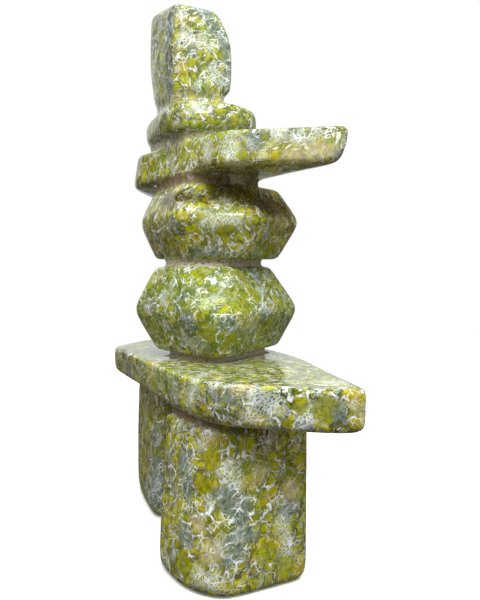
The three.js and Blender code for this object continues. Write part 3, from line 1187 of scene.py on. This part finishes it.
class RockPaint(Wiring):
    """Paints serpentine in a material's tree. Every value comes from a point's place in the block, in mm."""

    def __init__(self, tree: bpy.types.NodeTree, look: Serpentine) -> None:
        """Works out the places, noises, nets and masks that several layers share.

        Args:
            tree: the material's nodes.
            look: the rock's colours, sizes and shares.
        """
        super().__init__(tree)
        self.look = look
        self.place = self.scaled(self.node("ShaderNodeTexCoord").outputs["Object"], 1 / MM)
        self.level = self.node("ShaderNodeSeparateXYZ", {0: self.place}).outputs["Z"]
        stirring = {"Place": self.place, "Grain": look.lay}
        self.rock = self.node("ShaderNodeGroup", stirring, node_tree=look.stir.group()).outputs["Place"]
        self.drift = self.noise(self.place, look.drift)
        self.patch = self.noise(self.place, look.patch)
        self.grain = self.noise(self.rock, look.grain)
        self.wobble = self.times(self.less(self.noise(self.place, look.wobble), 0.5), look.wobble_reach)
        taper = self.noise(self.rock, look.taper)
        widths = (self.ease(taper, look.coarse_widths), self.ease(taper, look.middle_widths), look.fine_width)
        net = look.net.group()
        self.coarse, self.middle, self.fine = (
            self.node("ShaderNodeGroup", {"Place": self.rock, "Cell Size": size, "Vein Width": width},
                      node_tree=net).outputs
            for size, width in zip(look.cell_sizes, widths))
        self.coarse_here = self.ease(self.noise(self.place, look.coarse_places), Band(0.42, 0.61, 0.08, 1.0))
        self.milk = self.ease(self.level, look.milky)
        self.froth = self.most(self.mask(Tint.FROTH), self.ease(self.patch, Band(0.57, 0.68, 0.0, 0.65)))
        self.plain = self.mask(Tint.PLAIN)
        self.groove = self.attribute("groove")
        self.lines = self.veins()

    def mask(self, tint: Tint) -> Socket:
        """Works out where a tint is.

        Args:
            tint: the tint, whose border says how wide and how wavy its edge is.

        Returns:
            A share: 1 well within its marks, 0 well outside, and eased between the two.
        """
        border = BORDERS[tint]
        beyond = self.plus(self.attribute(tint.value), self.times(self.wobble, border.wobble))
        return self.ease(beyond, Band(border.spread, -border.spread))

    def tone(self) -> Socket:
        """Works out how light the cells are: each has its own tone, mottled, and darker towards its wall.

        Returns:
            A tone from about 0, the deepest, to about 1, the brightest.
        """
        return self.plus(
            self.times(self.coarse["Pick"], self.look.coarse_pick),
            self.times(self.middle["Pick"], self.look.middle_pick),
            self.ease(self.grain, Band(0.3, 0.7, -0.05, 0.42)),
            self.ease(self.noise(self.rock, self.look.blotch), Band(0.3, 0.7, -0.12, 0.14)),
            self.ease(self.noise(self.rock, self.look.crumb), Band(0.3, 0.7, -0.16, 0.16)),
            self.ease(self.coarse["Inside"], Band(0.15, 0.9, -0.28, 0.12)),
            self.ease(self.middle["Inside"], Band(0.05, 0.4, -0.18, 0.1)))

    def cells(self) -> Socket:
        """Lays the colours of the cells over each other: greens, gold, plain cells, haze and grey clouds.

        Returns:
            The colour between the veins.
        """
        look = self.look
        rim = self.ease(self.coarse["Inside"], Band(0.1, 0.75, 0.7, 0.0))
        mossy = self.ease(self.patch, Band(0.48, 0.6, 0.0, 0.6))
        from_belly = self.apart(self.level, look.belly)
        leafy = self.most(self.ease(self.drift, Band(0.5, 0.38, 0.0, 0.5)),
                          self.ease(from_belly, Band(24.0, 14.0, 0.0, 0.42)))
        from_shoulder = self.apart(self.level, look.shoulder)
        ochre = self.plus(self.ease(self.noise(self.place, look.ochre), Band(0.55, 0.66, 0.0, 0.6)),
                          self.ease(self.level, Band(90.0, 55.0, 0.0, 0.2)),
                          self.ease(from_shoulder, Band(28.0, 18.0, 0.0, 0.25)))
        golden = self.most(self.mask(Tint.GOLD), ochre)
        cloud = self.most(self.mask(Tint.CLOUD), self.ease(self.drift, Band(0.56, 0.68, 0.0, 0.35)))
        hazy = self.plus(self.times(self.froth, look.froth_haze), self.times(self.milk, look.milk_haze))
        greens = self.ramp(self.tone(), (0.0, look.deep), (0.26, look.olive), (0.46, look.ripe),
                           (0.68, look.yellow), (0.92, look.bright))
        plain = self.ramp(self.grain, (0.34, look.olive), (0.66, look.yellow))
        grey = self.ramp(self.grain, (0.34, look.teal), (0.6, look.slate))
        return self.layered(
            greens,
            (self.times(rim, self.less(1.0, self.coarse_here)), look.moss),
            (mossy, look.moss),
            (leafy, look.leaf),
            (self.times(golden, look.gold_share), look.gold),
            (self.times(self.plain, look.plain_share), plain),
            (hazy, look.haze),
            (self.times(cloud, look.cloud_share), grey))

    def veins(self) -> Socket:
        """Works out how strongly a vein shows: the most of the nets, the threads, the froth and the marks.

        The nets come and go with slow noises, and nearly stop where the rock is plain. The marked veins are
        laid on last and stay whole.

        Returns:
            A share from 0, no vein, to 1.
        """
        look = self.look
        knots = self.most(self.coarse["Vein"], self.ease(self.coarse["Round"], Band(0.8, 1.0, 0.0, 0.5)))
        middle_here = self.ease(self.noise(self.rock, look.middle_places), Band(0.48, 0.62, 0.05, 0.85))
        from_thread = self.apart(self.noise(self.rock, look.threads), 0.5)
        foam = self.ease(self.noise(self.rock, look.foam), Band(0.52, 0.62, 0.0, 0.45))
        lines = self.most(
            self.times(knots, self.coarse_here),
            self.times(self.middle["Vein"], middle_here),
            self.ease(from_thread, Band(0.012, 0.004, 0.0, 0.35)),
            self.times(self.froth, self.times(self.fine["Vein"], look.froth_veins)),
            self.times(self.froth, foam))
        calm = self.less(self.less(1.0, self.times(self.plain, look.plain_calm)),
                         self.times(self.milk, look.milk_calm))
        fade = self.ease(self.noise(self.place, look.fading), Band(0.36, 0.58, 0.6, 1.0))
        lines = self.times(lines, calm, self.most(fade, self.milk))
        beyond = self.plus(self.attribute(Tint.VEIN.value), self.times(self.wobble, look.vein_wobble))
        return self.most(lines, self.ease(beyond, Band(0.1, -0.5)))

    def rubbed(self) -> Socket:
        """Works out the dull colour of the grooves' walls, rusty in places and pitted.

        Returns:
            The colour.
        """
        look = self.look
        pits = self.ease(self.noise(self.place, look.pits), Band(0.53, 0.6))
        rusty = self.mix(self.times(self.mask(Tint.RUST), look.rust_share), look.ground, look.rust)
        return self.mix(self.times(pits, look.pit_share), rusty, look.pit)

    def colour(self) -> Socket:
        """Lays the veins, warm patches, specks, brown darker rock with painted shade, and rubbed grooves over
        the cells.

        Returns:
            The rock's colour.
        """
        look = self.look
        pale = self.ramp(self.noise(self.place, look.pale), (0.31, look.cream), (0.43, look.white),
                         (0.54, look.white), (0.64, look.blue))
        pale = self.mix(self.times(self.froth, look.frost_share), pale, look.frost)
        sand = self.ramp(self.grain, (0.35, look.sand), (0.6, look.cream))
        dots = self.node("ShaderNodeTexVoronoi", {"Vector": self.rock, "Scale": look.specks_per_mm})
        veined = self.layered(
            self.cells(),
            (self.times(self.lines, look.vein_share), pale),
            (self.times(self.mask(Tint.WARM), look.warm_share), sand),
            (self.ease(dots.outputs["Distance"], Band(0.055, 0.03, 0.0, 0.8)), look.speck))
        # Painted shade: the upper stone's top is multiplied by brown where the arm slab shades it, partly
        # darker rock.
        dark_and_shade_laid = self.mix(self.times(self.mask(Tint.DARK), look.dark_and_shade_share), veined, look.dark_and_shade_umber, "MULTIPLY")
        return self.mix(self.times(self.groove, look.groove_share), dark_and_shade_laid, self.rubbed())

    def roughness(self) -> Socket:
        """Works out how dull the rock is: well polished, a little less on veins, and dull in the grooves.

        Returns:
            The roughness.
        """
        polished = self.plus(self.ease(self.grain, Band(0.3, 0.7, 0.07, 0.12)),
                             self.times(self.lines, self.look.vein_roughness))
        return self.most(polished, self.times(self.groove, self.look.groove_roughness))

    def relief(self) -> Socket:
        """Works out the fine relief: a slow swell all over, and pitting in the grooves.

        Returns:
            The height in mm.
        """
        deep = self.ease(self.groove, Band(0.2, 0.8, 0.0, 0.35))
        pitting = self.times(self.noise(self.place, self.look.pitting), deep)
        swell = self.times(self.noise(self.place, self.look.swell), self.look.swell_height)
        return self.plus(pitting, swell)


def placed_in_scene(name: str, data: bpy.types.ID) -> bpy.types.Object:
    """Adds an object to the scene.

    Args:
        name: its name.
        data: its mesh, light or camera.

    Returns:
        The object, at the origin.
    """
    added = bpy.data.objects.new(name, data)
    bpy.context.scene.collection.objects.link(added)
    return added


def facing(way: Vector) -> Euler:
    """How a camera or light is turned to look along a direction."""
    return way.to_track_quat("-Z", "Y").to_euler()


@dataclass(frozen=True)
class Viewpoint:
    """Where the picture is taken from, in metres in the part's frame, and which way it looks, in degrees."""

    place: Point = (0.2514, -0.10225, 0.1215)
    azimuth: float = 156.41
    dip: float = 3.6
    lens: float = 36.0
    sensor: float = 36.0
    nearest: float = 0.01

    def build(self) -> bpy.types.Object:
        """Adds the camera and makes it the scene's.

        Returns:
            The camera.
        """
        camera = bpy.data.cameras.new("camera")
        camera.lens = self.lens
        camera.sensor_width = camera.sensor_height = self.sensor
        camera.clip_start = self.nearest
        seer = placed_in_scene("camera", camera)
        tip = np.radians(self.dip)
        seer.location = self.place
        way = compass(self.azimuth) * np.cos(tip) - np.array([0, 0, np.sin(tip)])
        seer.rotation_euler = facing(Vector(way))
        bpy.context.scene.camera = seer
        return seer


@dataclass(frozen=True)
class Lamp:
    """A soft square light: where it hangs, what it faces, how wide it is in metres, and its power in watts.

    A lamp that isn't mirrored lights the stone but makes no highlight on it.
    """

    name: str
    place: Point
    target: Point
    width: float
    power: float
    colour: Colour
    mirrored: bool = True

    def build(self) -> bpy.types.Object:
        """Adds the light.

        Returns:
            The light, which the camera doesn't see.
        """
        light = bpy.data.lights.new(self.name, "AREA")
        light.shape = "SQUARE"
        light.size = self.width
        light.energy = self.power
        light.color = self.colour
        hung = placed_in_scene(self.name, light)
        hung.location = self.place
        hung.rotation_euler = facing(Vector(self.target) - Vector(self.place))
        hung.visible_camera = False
        hung.visible_glossy = self.mirrored
        return hung


@dataclass(frozen=True)
class Studio:
    """A pale floor that fades into a white backdrop, a dim warm room and six soft lamps.

    The window, past the near end, and the screen, past the far end, show in the polish. The key, the
    ceiling, the fill in front and the side light behind only light the stone. Lengths in metres.
    """

    floor_radius: float = 0.9
    floor_sides: int = 128
    floor_roughness: float = 0.9
    floor_colour: RGBA = shade(252, 252, 252)
    fade: Band = Band(0.85, 0.25)
    room: float = 0.24
    room_tint: RGBA = (1.0, 0.9, 0.72, 1.0)
    room_in_polish: float = 0.1
    backdrop: float = 1.0
    backdrop_tint: RGBA = (1.0, 1.0, 1.0, 1.0)
    lamps: tuple[Lamp, ...] = (
        Lamp("window", (1.22, -0.5, 0.78), (0.0, 0.0, 0.12), 0.24, 3.2, (0.88, 0.96, 1.0)),
        Lamp("key", (0.55, -0.08, 0.85), (0.0, 0.0, 0.12), 0.45, 10.4, (0.96, 1.0, 0.92), mirrored=False),
        Lamp("ceiling", (0.1, -0.2, 1.6), (0.0, 0.0, 0.1), 2.4, 37.0, (0.96, 1.0, 0.97), mirrored=False),
        Lamp("fill", (-0.1, -1.25, 0.85), (0.0, 0.0, 0.16), 1.2, 6.8, (0.97, 0.98, 1.0), mirrored=False),
        Lamp("side", (0.7, 0.85, 0.3), (0.0, 0.0, 0.12), 0.6, 2.8, (0.96, 1.0, 1.0), mirrored=False),
        Lamp("screen", (-1.46, 0.3, 0.66), (0.0, 0.0, 0.2), 1.7, 6.4, (0.9, 0.97, 1.0)),
    )

    def floor(self) -> bpy.types.Object:
        """Builds the floor, a level disc under the carving, see-through towards its rim.

        Returns:
            The floor, which neither lights the carving nor shows in its polish.
        """
        turn = np.linspace(0, 2 * np.pi, self.floor_sides, endpoint=False)
        rim = np.column_stack([np.cos(turn), np.sin(turn), np.zeros(turn.size)]) * self.floor_radius
        mesh = bpy.data.meshes.new("floor")
        mesh.from_pydata(rim.tolist(), [], [list(range(turn.size))])
        material = bpy.data.materials.new("pale floor")
        material.use_nodes = True
        wiring = Wiring(material.node_tree)
        away = wiring.measured("LENGTH", wiring.node("ShaderNodeTexCoord").outputs["Object"])
        surface = material.node_tree.nodes["Principled BSDF"]
        wiring.feed(surface.inputs["Base Color"], self.floor_colour)
        wiring.feed(surface.inputs["Roughness"], self.floor_roughness)
        wiring.feed(surface.inputs["Alpha"], wiring.ease(away, self.fade))
        mesh.materials.append(material)
        floor = placed_in_scene("floor", mesh)
        floor.visible_diffuse = False
        floor.visible_glossy = False
        return floor

    def surround(self) -> None:
        """Sets the room: dim and warm on the carving, darker in its polish, and white behind it."""
        world = bpy.data.worlds.new("surround")
        world.use_nodes = True
        wiring = Wiring(world.node_tree)
        ray = wiring.node("ShaderNodeLightPath").outputs
        seen = ray["Is Camera Ray"]
        background = world.node_tree.nodes["Background"]
        strength = wiring.between(seen, self.room, self.backdrop)
        strength = wiring.between(ray["Is Glossy Ray"], strength, self.room_in_polish)
        wiring.feed(background.inputs["Color"], wiring.mix(seen, self.room_tint, self.backdrop_tint))
        wiring.feed(background.inputs["Strength"], strength)
        bpy.context.scene.world = world

    def build(self) -> None:
        """Adds the surround, the floor and the lamps."""
        self.surround()
        bpy.context.scene.view_settings.view_transform = "Standard"
        self.floor()
        for lamp in self.lamps:
            lamp.build()


def main() -> None:
    """Builds the studio and the carving, and hands the carving to the frame."""
    logging.basicConfig(level=logging.INFO, format="%(message)s")
    Viewpoint().build()
    Studio().build()
    carving = Carving().build()
    carving.data.materials.append(Serpentine().material())
    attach(carving, BODY)
    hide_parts(NODE)
    log.info("%s: %d faces", carving.name, len(carving.data.polygons))


if __name__ == "__main__":
    main()
